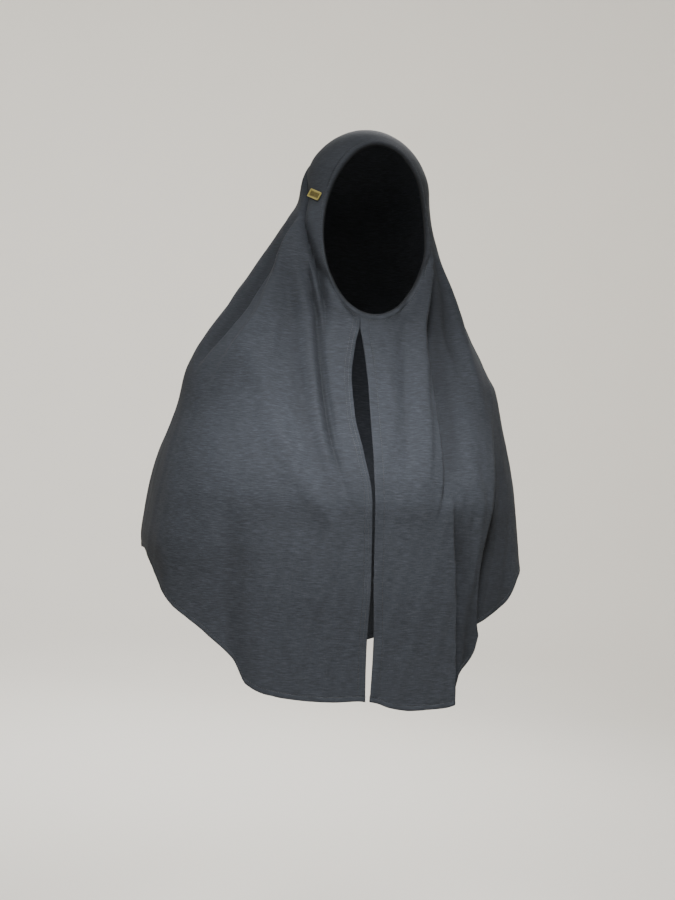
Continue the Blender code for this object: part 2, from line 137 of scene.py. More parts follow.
# Folds: top and low are drops as shares of the length, the angles are where the fold starts and
# ends, bend bows its path sideways in degrees, width and depth are shares of the fold sizes
# (a valley is negative), crisp sharpens it and skew leans it to the left side
Fold = namedtuple("Fold", "top low start end bend width depth crisp skew", defaults=(2.0, 0.0))
FOLDS = tuple(Fold(*row) for row in (
    # wearer's right side, from the temple down to the chest
    (0.00, 0.42, -127, -37, 25, 0.24, -1.05, 1.6, 0.3),
    (0.20, 0.68, -60, -10, 1, 0.26, -0.80, 1.3, -0.2),
    (0.18, 0.68, -68, -15, 2, 0.60, 0.55, 2.0, -0.5),
    (0.20, 0.70, -72, -12, -1, 0.75, -0.85, 1.6, -0.2),
    (0.36, 0.72, -72, -13, -1, 0.70, 0.45, 1.8, -0.3),
    (0.13, 0.50, -66, -73, 0, 0.55, 0.85, 1.7, 0.6),
    (0.16, 0.46, -72, -83, 0, 0.60, -1.25, 1.8, -0.6),
    (0.18, 0.48, -70, -56, 0, 0.45, 0.35, 1.8, -0.4),
    (0.60, 1.20, -53, -49, 0, 0.90, -0.55, 2.0, 0.3),
    (0.62, 1.20, -72, -66, 0, 1.30, 0.50),
    # wearer's left side
    (0.10, 0.68, 61, 22, 1, 0.70, -1.50, 2.0, 0.90),
    (0.13, 0.46, 78, 55, 0, 0.60, -0.60, 2.0, 0.4),
    (0.05, 0.25, 97, 88, 0, 0.90, 0.60),
    (0.12, 0.68, 63, 13, -1, 0.60, 0.50, 1.8, -0.5),
    (0.16, 0.52, 78, 56, 3, 0.55, 0.60, 1.8, 0.3),
    (0.28, 0.64, 33, 9, -2, 0.55, -0.45, 1.8),
    (0.44, 1.25, 76, 112, -46, 1.50, -1.20, 2.2, 0.90),
    (0.50, 1.25, 46, 44, -4, 0.45, 0.30, 2.0, -0.3),
    (0.60, 1.25, 30, 49, 0, 0.95, -1.30, 2.2, 0.90),
    (0.60, 1.20, 78, 74, 0, 1.10, -0.60),
    # sides and back, finished plainly
    (0.45, 1.20, -104, -100, 0, 1.60, 0.70),
    (0.40, 1.20, -126, -122, 0, 1.60, -0.80),
    (0.34, 1.20, -150, -146, 0, 1.70, 0.90),
    (0.40, 1.20, -172, -170, 0, 1.60, -0.70),
    (0.36, 1.20, 166, 168, 0, 1.60, 0.80),
    (0.42, 1.20, 144, 146, 0, 1.60, -0.80),
    (0.38, 1.20, 122, 124, 0, 1.60, 0.90),
    (0.50, 1.20, 100, 102, 0, 1.40, -0.60),
))

# Small creases that the solid leaves out, in the same columns
CREASES = tuple(Fold(*row) for row in (
    (0.24, 0.38, -52, -8, 0, 0.22, -0.28, 1.6),
    (0.20, 0.36, 54, 16, 0, 0.22, -0.25, 1.6),
    (0.20, 0.64, -60, -12, 2, 0.14, -0.22, 1.4),
    (0.11, 0.36, -105, -60, 11, 0.18, 0.14, 1.6),
    (0.22, 0.62, 60, 28, -2, 0.12, -0.16, 1.4),
    (0.60, 1.10, -41, -40, 1, 0.25, -0.08),
    (0.58, 1.10, -34, -33, 0, 0.30, -0.08),
    (0.62, 1.10, -20, -18, 0, 0.35, 0.06),
    (0.60, 1.10, 37, 44, 0, 0.22, 0.14),
    (0.62, 1.00, 16, 15, 0, 0.40, -0.05),
))

# Turned edges across their width, from the free edge inward: place is a share of the width,
# outer and inner are shares of the edge's thickness above and below the cloth's middle
EdgeRow = namedtuple("EdgeRow", "place outer inner")
EDGE_PROFILE = tuple(EdgeRow(*row) for row in (
    (0.000, 0.06, -0.06),
    (0.020, 0.22, -0.28),
    (0.060, 0.33, -0.44),
    (0.140, 0.38, -0.52),
    (0.300, 0.39, -0.55),
    (0.550, 0.36, -0.55),
    (0.740, 0.31, -0.55),
    (0.800, 0.26, -0.55),
    (0.840, 0.22, -0.50),
    (0.880, 0.25, -0.50),
    (0.940, 0.27, -0.48),
    (1.000, 0.26, -0.26),
))

# Shares of an edge's width: the stitch rows, the face band's rolled part and its painted shade
STITCH_PLACE = 0.84
SECOND_STITCH_PLACE = 0.42
ROLL_SHARE = 0.55
RIM_SHARE = 0.5

# Distance in metres that the single cloth's weave gives for its free edge: past every stitch row
FAR_APART = 0.5

# Small soft ripples: height is a share, side and down are waves to a ripple length, and the waves
# sway as they run down (bends in radians a metre) and round (turn)
Wave = namedtuple("Wave", "height side down phase sway bends turn")
WAVES = (
    Wave(1.0, 0.90, 0.22, 1.3, 0.0, 0.0, 0.0),
    Wave(1.0, 0.53, -0.31, 4.1, 1.4, 9.0, 0.0),
    Wave(0.6, 1.70, 0.45, 0.0, 2.2, 14.0, 1.0),
)
# The ripples begin at the drop RIPPLE_TOP, have their full height RIPPLE_RISE further down, and
# are spaced as on a reach of at least RIPPLE_REACH
RIPPLE_TOP = 0.12
RIPPLE_RISE = 0.10
RIPPLE_REACH = 0.05

# Edges that turn more than this are drawn sharp: the rims of the cloth, the plate's corners. The
# plate's edges are bevelled first where they turn more than PLATE_EASED
WALL_SHARP = math.radians(60)
PLATE_SHARP = math.radians(20)
PLATE_EASED = math.radians(25)

# How a value becomes a shade or a roughness: from start to end it goes from low to high
Ramp = namedtuple("Ramp", "start end low high")
DARK_YARN = Ramp(0.49, 0.66, 0.0, 0.50)
LIGHT_YARN = Ramp(0.49, 0.32, 0.0, 0.45)
YARN_ROUGHNESS = Ramp(0.0, 1.0, 0.94, 0.80)
GRAIN_SHADE = Ramp(0.30, 0.70, 0.90, 1.10)
CLOUD_SHADE = Ramp(0.30, 0.70, 0.95, 1.05)
# Painted shade deep in the folds, from how deep each place lies
HOLLOW_PAINTED_SHADE = Ramp(0.15, 0.90, 1.0, 0.68)
# Painted shade in the groove along a stitch row
STITCH_PAINTED_SHADE = Ramp(0.0001, 0.0008, 0.84, 1.0)
TWIST_SHADE = Ramp(0.0, 1.0, 0.7, 1.3)
STAIN_SHADE = Ramp(0.40, 0.90, -0.1, 0.2)
METAL_ROUGHNESS = Ramp(0.0, 1.0, 0.36, 0.50)
MOTTLE_SHADE = Ramp(0.0, 1.0, 0.98, 1.02)
# Darkest value of the painted shade at the face band's free edge
RIM_PAINTED_SHADE = 0.25

# Noise textures, with a scale in repeats a metre, or one for each of x, y and z
Texture = namedtuple("Texture", "scale detail roughness", defaults=(2.0, 0.5))
SLUB = Texture((110, 110, 1100), 3.0, 0.62)
GRAIN = Texture((520, 520, 1900))
CLOUD = Texture(13.0, 3.0)
TWIST = Texture(2200.0)
STAIN = Texture(260.0, 5.0)
BRUSH = Texture((2500, 2500, 9000))
MOTTLE = Texture(1.6, 4.0)

Bump = namedtuple("Bump", "strength distance")
JERSEY_BUMP = Bump(0.35, 0.0004)
THREAD_BUMP = Bump(0.3, 0.0001)
METAL_BUMP = Bump(0.06, 0.0001)

# Soft square lights: where each stands and aims, its side in metres, its watts and its spread
SoftLight = namedtuple("SoftLight", "name place aim size watts spread")
LIGHTS = (
    SoftLight("key light", (-0.26, -0.84, 0.76), (0.0, -0.15, -0.57), 0.35, 4.4, 34.0),
    SoftLight("side light", (-2.2, -1.5, -0.7), (0.0, 0.0, -0.7), 1.4, 13.5, 180.0),
    SoftLight("back light", (1.0, 2.2, 2.0), (0.0, 0.0, -0.4), 1.2, 55.0, 120.0),
    SoftLight("wall light", (0.0, 1.6, 1.6), (0.0, 6.0, -0.2), 2.4, 100.0, 150.0),
)
SENSOR_WIDTH = 36.0
FLOOR_TURNS = 96
COVE_STEPS = 24


def linear(hex_colour):
    """Linear colour of an sRGB hex value."""
    parts = [int(hex_colour[k:k + 2], 16) / 255 for k in (1, 3, 5)]
    return tuple(c / 12.92 if c <= 0.04045 else ((c + 0.055) / 1.055) ** 2.4 for c in parts)


def length(name, default, description):
    """Property for a length in metres."""
    return FloatProperty(name=name, description=description, default=default, min=0.0,
                         unit="LENGTH", precision=4)


def signed_length(name, default, description):
    """Property for a place in metres, which can be negative."""
    return FloatProperty(name=name, description=description, default=default, unit="LENGTH",
                         precision=4)


def angle_of(name, degrees, description):
    """Property for an angle, given in degrees."""
    return FloatProperty(name=name, description=description, default=math.radians(degrees),
                         subtype="ANGLE")


def plain_number(name, default, description, most=1.0):
    """Property for a plain number from 0."""
    return FloatProperty(name=name, description=description, default=default, min=0.0, max=most)


def whole_number(name, default, least, most, description):
    """Property for a number of faces."""
    return IntProperty(name=name, description=description, default=default, min=least, max=most)


def colour(name, hex_colour, description):
    """Property for a colour, given as an sRGB hex value."""
    return FloatVectorProperty(name=name, description=description, default=linear(hex_colour),
                               subtype="COLOR", size=3, min=0.0, max=1.0)


class DrapeSizes(bpy.types.PropertyGroup):
    """Main sizes of the hanging cloth."""
    length: length("Length", 0.722, "Drop from the crown to the level of the lowest hem")
    width: length("Width", 0.474, "Widest place of the cape, elbow to elbow")
    depth: length("Depth", 0.289, "Deepest place of the cape, front to back")
    head_drop: length("Head drop", 0.092, "Drop from the crown to the widest level of the head")
    head_side: length("Head side", 0.083, "Reach of the hood to each side")
    head_front: length("Head front", 0.088, "Reach of the hood to the front")
    head_back: length("Head back", 0.096, "Reach of the hood to the back")
    face_top: length("Face top", 0.031, "Drop from the crown to the top of the face opening")
    face_low: length("Face low", 0.2385, "Drop from the crown to the chin")
    face_half: length("Face half width", 0.0650, "Half the width of the face opening")
    slit_gap: length("Slit gap", 0.019, "Widest gap of the front slit")
    slit_sway: length("Slit sway", 0.0068, "How far the slit sways to the wearer's right")
    fold_width: length("Fold width", 0.020, "Half width of a fold of share 1")
    fold_depth: length("Fold depth", 0.010, "Height of a fold of share 1")
    face_egg: plain_number("Face egg", 0.05, "How much narrower the opening is at the chin than at"
                           " the brow", 0.3)
    face_shift: signed_length("Face shift", -0.002, "Sideways place of the opening")
    seam_turn: angle_of("Seam turn", 13, "Where the chin seam meets the opening")


class ClothSizes(bpy.types.PropertyGroup):
    """Thickness, edges and fineness of the cloth."""
    wall: length("Cloth thickness", 0.0012, "Thickness of the single cloth")
    band: length("Face band width", 0.0095, "Width of the turned edge round the face")
    right_facing: length("Right facing width", 0.011, "Turned edge on the slit's right side")
    left_facing: length("Left facing width", 0.013, "Turned edge on the slit's left side")
    hem: length("Hem width", 0.0075, "Width of the turned lower edge")
    roll: length("Band roll", 0.0022, "How far the face band's free edge turns inward")
    edge: length("Edge thickness", 0.0023, "Thickness of the turned and stitched edges")
    ripple: length("Ripple height", 0.00020, "Height of the cloth's small soft ripples")
    ripple_length: length("Ripple length", 0.030, "Length of the small soft ripples")
    crowding: plain_number("Crowding", 0.4, "How much closer together the columns are at the front"
                           " than at the back", 0.8)
    columns: whole_number("Columns", 380, 40, 400, "Columns of faces round the cloth")
    rows: whole_number("Rows", 100, 20, 200, "Rows of faces down the cloth")


class StitchSizes(bpy.types.PropertyGroup):
    """Sizes of the lockstitch."""
    stitch: length("Stitch length", 0.0023, "Length of thread that shows in one stitch")
    pitch: length("Stitch pitch", 0.0028, "Distance from one stitch to the next")
    thread: length("Thread thickness", 0.00038, "Thickness of the sewing thread")


class PlateSizes(bpy.types.PropertyGroup):
    """Sizes and place of the label plate."""
    width: length("Width", 0.0240, "Length of the plate along its long side")
    height: length("Height", 0.0104, "Height of the plate")
    thickness: length("Thickness", 0.0012, "Thickness of the plate at its rim")
    rim: length("Rim", 0.0015, "Width of the raised rim")
    dish: length("Dish", 0.0006, "Depth of the face below the rim")
    bevel: length("Bevel", 0.00022, "Rounding of the edges")
    drop: length("Drop", 0.097, "Drop from the crown to the plate")
    angle: angle_of("Angle", -60, "Angle about the crown, negative to the right")
    turn: angle_of("Turn", 22, "How far the plate leans")


class FinishColours(bpy.types.PropertyGroup):
    """Colours of the cloth, the thread, the plate and the stage."""
    cloth: colour("Cloth", "#23262b", "Main colour of the jersey")
    cloth_dark: colour("Dark slub", "#15171b", "Thick dark yarns of the jersey")
    cloth_light: colour("Light slub", "#33363d", "Thin light yarns of the jersey")
    thread: colour("Thread", "#17191c", "Sewing thread")
    metal: colour("Plate", "#b5aa66", "Aged brass")
    # Colour of the tarnish and of the painted shade in the dished face
    metal_tarnish_and_shade: colour("Plate tarnish", "#5b5230", "Tarnish in the dished face")
    floor: colour("Floor", "#efece6", "Floor and the air round it")


class StageSizes(bpy.types.PropertyGroup):
    """Camera, floor and lights."""
    distance: length("Camera distance", 1.40, "Distance from the crown's vertical")
    aside: length("Camera aside", 0.0146, "Shift of the camera to its own left")
    floor_drop: length("Floor drop", 1.45, "Drop from the crown to the floor")
    floor_size: length("Floor size", 7.0, "Reach of the floor to the wall round it")
    cove: length("Cove", 2.5, "Rounding between the floor and the wall")
    wall_height: length("Wall height", 4.6, "Height of the wall round the floor")
    height: signed_length("Camera height", -0.4035, "Height of the camera above the crown")
    turn: angle_of("Camera turn", 15, "How far round to the wearer's right the camera stands")
    roll: angle_of("Camera roll", 3.5, "How far the camera is rolled")
    lens: FloatProperty(name="Lens", description="Focal length in millimetres", default=44.08,
                        unit="CAMERA")
    light: plain_number("Light", 1.0, "Strength of the lights as a whole", 100.0)
    air: plain_number("Air", 1.04, "Strength of the even light from all round", 100.0)


def smooth_curve(xs, ys, x):
    """Curve through the rows of a table that never overshoots them."""
    steps = np.diff(xs)
    rise = np.diff(ys) / steps
    slope = np.zeros(len(ys))
    same = rise[:-1] * rise[1:] > 0
    before = 2 * steps[1:] + steps[:-1]
    after = steps[1:] + 2 * steps[:-1]
    safe = np.where(same, rise[:-1] * rise[1:], 1.0)
    mean = (before + after) * safe / np.where(same, before * rise[1:] + after * rise[:-1], 1.0)
    slope[1:-1] = np.where(same, mean, 0.0)
    slope[0], slope[-1] = rise[0], rise[-1]
    k = np.clip(np.searchsorted(xs, x) - 1, 0, len(steps) - 1)
    s = np.clip((x - xs[k]) / steps[k], 0, 1)
    return (
        (1 + 2 * s) * (1 - s) ** 2 * ys[k]
        + s * (1 - s) ** 2 * steps[k] * slope[k]
        + s * s * (3 - 2 * s) * ys[k + 1]
        + s * s * (s - 1) * steps[k] * slope[k + 1]
    )


def ease(x):
    """Soft step from 0 to 1."""
    x = np.clip(x, 0, 1)
    return x * x * (3 - 2 * x)


class HangingCloth:
    """Shape of the cloth, worked out from the drape sizes and the tables."""

    def __init__(self, sizes, cloth):
        self.sizes = sizes
        self.cloth = cloth
        self.run, self.rings = self.ring_table()

    def ring_table(self):
        """All rings from the crown down, and their run from the crown."""
        s = self.sizes
        head = (s.head_drop, s.head_side, s.head_side, s.head_front, s.head_back)
        scale = (s.length, s.width, s.width, s.depth, s.depth)
        levels = [head] + [[share * full for share, full in zip(level, scale)] for level in LEVELS]
        rows = []
        for k in range(HEAD_STEPS):
            turn = 0.5 * math.pi * k / HEAD_STEPS
            drop = s.head_drop * (1 - math.cos(turn))
            rows.append([drop] + [size * math.sin(turn) for size in head[1:]] + [2.0])
        for ring in RINGS:
            pairs = zip(levels[ring.above], levels[ring.above + 1], ring[1:6])
            rows.append([a + (b - a) * share for a, b, share in pairs] + [ring.square])
        rows = np.array(rows)
        steps = np.hypot(np.diff(rows[:, 0]), np.diff(rows[:, 1]))
        return np.concatenate([[0], np.cumsum(steps)]), rows

    def ring_at(self, run):
        """Drop, reaches and square of the drape at a run."""
        return [smooth_curve(self.run, self.rings[:, k], run) for k in range(6)]

    def run_at(self, drop):
        """Run of the drape at a drop."""
        return smooth_curve(self.rings[:, 0], self.run, drop)

    def drape(self, angle, run):
        """Outer face of the smooth drape, with no folds."""
        drop, right, left, front, back, square = self.ring_at(run)
        side, fore = np.sin(angle), np.cos(angle)
        width = np.maximum(np.where(side < 0, right, left), 1e-9)
        depth = np.maximum(np.where(fore > 0, front, back), 1e-9)
        reach = (np.abs(side / width) ** square + np.abs(fore / depth) ** square) ** (-1 / square)
        return np.stack([reach * side, -reach * fore, self.cloth.wall - drop], -1)

    def fold_height(self, angle, drop, reach):
        """How far the folds lift the cloth off the smooth drape."""
        s = self.sizes
        height = np.zeros_like(angle)
        for fold in FOLDS + CREASES:
            along = (drop / s.length - fold.top) / (fold.low - fold.top)
            path = np.clip(along, 0, 1)
            centre = fold.start + (fold.end - fold.start) * path + 4 * fold.bend * path * (1 - path)
            turn = np.remainder(angle - np.radians(centre) + math.pi, 2 * math.pi) - math.pi
            across = turn * reach / (s.fold_width * fold.width)
            across = across / (1 + fold.skew * np.sign(across))
            fade = ease(FOLD_RISE * along) * ease(FOLD_FADE * (1 - along))
            height += s.fold_depth * fold.depth * fade * np.exp(-np.abs(across) ** fold.crisp)
        return height

    def ripples(self, angle, drop, reach):
        """Small soft ripples, as sums of waves that run down the cloth."""
        wave = 2 * math.pi / self.cloth.ripple_length
        side = angle * np.maximum(reach, RIPPLE_REACH)
        height = np.zeros_like(side)
        for row in WAVES:
            phase = row.phase + row.sway * np.sin(row.bends * drop + row.turn * angle)
            height += row.height * np.sin(wave * (row.side * side + row.down * drop) + phase)
        return self.cloth.ripple * height * ease((drop - RIPPLE_TOP) / RIPPLE_RISE)

    def folded(self, angle, run):
        """Point of the smooth drape, with its drop, its reach and the height of the folds there."""
        base = self.drape(angle, run)
        drop, reach = self.cloth.wall - base[..., 2], np.linalg.norm(base[..., :2], axis=-1)
        return base, drop, reach, self.fold_height(angle, drop, reach)

    def hollow(self, angle, run):
        """How deep in a fold each place lies, from 0 on the smooth drape to 1."""
        return np.clip(-self.folded(angle, run)[3] / self.sizes.fold_depth, 0, 1)

    def point(self, angle, run):
        """Point of the folded cloth's outer face."""
        base, drop, reach, height = self.folded(angle, run)
        height = height + self.ripples(angle, drop, reach)
        return base + self.outward(angle, run, self.drape) * height[..., None]

    def outward(self, angle, run, surface=None):
        """Outward direction of the cloth, or of another surface with the same coordinates."""
        surface = surface or self.point
        step = 0.001
        run = np.maximum(run, 2 * step)
        turn = step / np.maximum(np.linalg.norm(self.drape(angle, run)[..., :2], axis=-1), step)
        across = surface(angle + turn, run) - surface(angle - turn, run)
        down = surface(angle, run + step) - surface(angle, run - step)
        normal = np.cross(down, across)
        return normal / np.linalg.norm(normal, axis=-1, keepdims=True)

    def face_edge(self, share):
        """Pattern point of the face opening, share -1 to 1 round from seam to seam."""
        s = self.sizes
        turn = math.pi * share + s.seam_turn
        drop = 0.5 * (s.face_top + s.face_low) - 0.5 * (s.face_low - s.face_top) * np.cos(turn)
        x = s.face_shift + s.face_half * np.sin(turn) * (1 - s.face_egg * np.cos(turn))
        run = self.run_at(drop)
        _, right, left, front, _, square = self.ring_at(run)
        y = front * (1 - np.abs(x / np.where(x < 0, right, left)) ** square) ** (1 / square)
        angle = np.arctan2(x, y)
        return run * np.sin(angle), run * np.cos(angle)

    def hem_edge(self, share):
        """Pattern point of the lower edge, share -1 to 1 round by the back."""
        turn = np.where(share < 0, -1, 1) * 180.0 * (1 - np.abs(share))
        run = self.run_at(self.sizes.length * smooth_curve(*HEM_LINE.T, turn))
        angle = np.radians(turn)
        return run * np.sin(angle), run * np.cos(angle)

    def pattern_line(self, share, down):
        """Angle and run: share round the opening, down from the face edge 0 to the hem 1."""
        face, hem = self.face_edge(share), self.hem_edge(share)
        side, fore = [a + (b - a) * down for a, b in zip(face, hem)]
        run = np.hypot(side, fore)
        angle = np.arctan2(side, fore)
        reach = np.linalg.norm(self.drape(angle, run)[..., :2], axis=-1)
        opening = 0.5 * self.sizes.slit_gap * smooth_curve(SLIT[:, 0], SLIT[:, 1], down)
        sway = self.sizes.slit_sway * smooth_curve(SLIT[:, 0], SLIT[:, 2], down)
        near = ease((np.abs(share) - SLIT_NEAR) / (1 - SLIT_NEAR))
        return angle + near * (sway + np.sign(share) * opening) / reach, run

    def surface(self, share, down):
        """Point of the cloth's outer face by its place in the pattern."""
        return self.point(*self.pattern_line(share, down))

    def down_from_face(self, share, distances, steps=240):
        """Places on each line at distances from its start, measured along the cloth."""
        places = np.linspace(0, 1, steps)
        points = self.surface(share[:, None], places[None, :])
        lengths = np.cumsum(np.linalg.norm(np.diff(points, axis=1), axis=-1), axis=1)
        lengths = np.concatenate([np.zeros((len(share), 1)), lengths], axis=1)
        wanted = distances(lengths[:, -1:])
        return np.array([np.interp(row, line, places) for row, line in zip(wanted, lengths)])

    def edge_share(self, side, down, distance):
        """Share of the line that lies a distance in from the slit's edge on one side."""
        step = 0.02
        edge = self.surface(side * np.ones_like(down), down)
        inner = self.surface(side * (1 - step) * np.ones_like(down), down)
        speed = np.linalg.norm(edge - inner, axis=-1) / step
        return side * (1 - distance / speed)

    def columns(self):
        """Columns round the cloth, closer together at the front and where the hem steps."""
        even = np.linspace(-1, 1, self.cloth.columns + 1)
        even = even + self.cloth.crowding * np.sin(math.pi * even) / math.pi
        steps = [np.linspace(middle - STEP_REACH, middle + STEP_REACH, STEP_COLUMNS)
                 for middle in (FIRST_STEP, SECOND_STEP)]
        steps = 1 - np.concatenate(steps) / 180
        outside = np.min(np.abs(even[:, None] - steps[None, :]), axis=1) > COLUMN_GAP
        return np.sort(np.concatenate([even[outside], steps]))


def main_grid(shape):
    """Pattern places of the single cloth between its turned edges: columns round, rows down."""
    cloth = shape.cloth
    columns = shape.columns()
    along = np.linspace(0, 1, cloth.rows + 1)

    def distances(total):
        return cloth.band + (total - cloth.band - cloth.hem) * along

    down = shape.down_from_face(columns, distances)
    right = shape.edge_share(-1, down, cloth.right_facing)
    left = shape.edge_share(1, down, cloth.left_facing)
    share = np.abs(columns[:, None]) * np.where(columns[:, None] < 0, right, left)
    return share, down


def all_columns(shape, share, down):
    """The single cloth's columns with the facings' own columns on either side."""
    cloth = shape.cloth
    places = np.array([row.place for row in EDGE_PROFILE[:-1]])
    right = [shape.edge_share(-1, down[0], cloth.right_facing * place) for place in places]
    left = [shape.edge_share(1, down[-1], cloth.left_facing * place) for place in places[::-1]]
    return np.concatenate([right, share, left])


def cloth_piece(name, shape, share, down, heights, apart, material, closed=False):
    """Closed shell round the cloth's middle at the given pattern places.

    heights are those of its outer and inner face above the middle, and apart is how far each
    place lies from the free edge. The weave holds this distance and the run down the cloth.
    """
    turn, run = shape.pattern_line(*np.broadcast_arrays(share, down))
    points, normals = shape.point(turn, run), shape.outward(turn, run)
    middle = points - normals * 0.5 * shape.cloth.wall
    outer, inner = [middle + normals * np.expand_dims(height, -1) for height in heights]
    weave = np.stack([np.broadcast_to(apart, run.shape), run], -1)
    columns, rows = run.shape
    number = np.arange(columns * rows).reshape(columns, rows)
    ahead = np.roll(number, -1, axis=0) if closed else number[1:]
    here = number if closed else number[:-1]
    quads = np.stack([here[:, :-1], ahead[:, :-1], ahead[:, 1:], here[:, 1:]], -1).reshape(-1, 4)
    shift = columns * rows
    inside = quads[:, ::-1] + shift
    rims = []
    ends = [(here[:, 0], ahead[:, 0]), (ahead[:, -1], here[:, -1])]
    if not closed:
        ends += [(number[-1, :-1], number[-1, 1:]), (number[0, 1:], number[0, :-1])]
    for first, second in ends:
        rims.append(np.stack([second, first, first + shift, second + shift], -1))
    faces = np.concatenate([quads, inside] + rims)
    points = np.concatenate([outer.reshape(-1, 3), inner.reshape(-1, 3)])
    mesh = bpy.data.meshes.new(name)
    mesh.from_pydata(points, [], faces.tolist())
    places = np.concatenate([weave.reshape(-1, 2)] * 2)[faces.ravel()]
    mesh.uv_layers.new(name="weave").data.foreach_set("uv", places.ravel())
    # How deep in the folds each place lies, for the jersey's painted shade
    depths = np.concatenate([shape.hollow(turn, run).ravel()] * 2)
    mesh.attributes.new("hollow", "FLOAT", "POINT").data.foreach_set("value", depths)
    mesh.shade_smooth()
    mesh.set_sharp_from_angle(angle=WALL_SHARP)
    return piece(name, mesh, material)


def put(name, data):
    """Object for a mesh, a light or a camera, in the scene."""
    item = bpy.data.objects.new(name, data)
    bpy.context.scene.collection.objects.link(item)
    return item


def piece(name, mesh, material):
    """Object for a finished mesh, with its material."""
    mesh.materials.clear()
    mesh.materials.append(material)
    return put(name, mesh)


def smooth_mesh(name, build):
    """Mesh of a finished bmesh, shaded smooth."""
    mesh = bpy.data.meshes.new(name)
    build.to_mesh(mesh)
    build.free()
    mesh.shade_smooth()
    return mesh


def seat(item, slot, *nodes):
    """Ties a finished piece to the frame: its body and the solids it replaces. slot is not used."""
    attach(item, "root")
    if nodes:
        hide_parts(*nodes)


def edge_heights(shape, roll=0.0):
    """Heights of a turned edge's two faces across its width, above the cloth's middle."""
    place = np.array([row.place for row in EDGE_PROFILE])
    turned = roll * np.maximum(1 - place / ROLL_SHARE, 0) ** 2
    outer = np.array([row.outer for row in EDGE_PROFILE]) * shape.cloth.edge
    inner = np.array([row.inner for row in EDGE_PROFILE]) * shape.cloth.edge
    return outer - turned, inner - turned


def across_edge(width):
    """Distances in from the free edge of a turned edge."""
    return np.array([row.place for row in EDGE_PROFILE]) * width


def fill(tree, item, inputs):
    """Fills a node's inputs with links, colours or other values."""
    for key, value in dict(inputs).items():
        if isinstance(value, bpy.types.NodeSocket):
            tree.links.new(value, item.inputs[key])
        else:
            item.inputs[key].default_value = (*value, 1.0) if isinstance(value, Color) else value


def add(tree, kind, inputs=(), **options):
    """Adds a node with its options and its inputs."""
    item = tree.nodes.new(kind)
    for name, value in options.items():
        setattr(item, name, value)
    fill(tree, item, inputs)
    return item


def out(tree, kind, inputs=(), output=0, **options):
    """Adds a node and gives one of its outputs."""
    return add(tree, kind, inputs, **options).outputs[output]


def noise(tree, place, texture):
    """Value of a noise texture at a place."""
    scale = texture.scale
    if isinstance(scale, tuple):
        place = out(tree, "ShaderNodeMapping", {"Vector": place, "Scale": scale})
        scale = 1.0
    return out(tree, "ShaderNodeTexNoise", {
        "Vector": place, "Scale": scale, "Detail": texture.detail, "Roughness": texture.roughness})


def ramped(tree, value, ramp, soft=False):
    """Value put through a ramp, straight or with soft ends."""
    limits = zip(("From Min", "From Max", "To Min", "To Max"), ramp)
    return out(tree, "ShaderNodeMapRange", {"Value": value, **dict(limits)},
               interpolation_type="SMOOTHSTEP" if soft else "LINEAR")


def calculate(tree, operation, *values, **options):
    """Result of an operation on one or two values."""
    return out(tree, "ShaderNodeMath", enumerate(values), operation=operation, **options)


def blend(tree, share, first, second):
    """Mix of two colours: 6, 7 and 2 are the Mix node's sockets for colours."""
    return out(tree, "ShaderNodeMix", {0: share, 6: first, 7: second}, 2, data_type="RGBA")


def shaded(tree, value, colour):
    """Colour made lighter or darker by a value."""
    return out(tree, "ShaderNodeHueSaturation", {"Value": value, "Color": colour})


def bumped(tree, height, bump):
    """Normal of a surface with a bump."""
    return out(tree, "ShaderNodeBump", {
        "Height": height, "Strength": bump.strength, "Distance": bump.distance})


def new_material(name):
    """Material with only its output and a Principled shader, and the place on the object."""
    material = bpy.data.materials.new(name)
    material.use_nodes = True
    tree = material.node_tree
    where = out(tree, "ShaderNodeTexCoord", output="Object")
    return material, tree, tree.nodes["Principled BSDF"], where


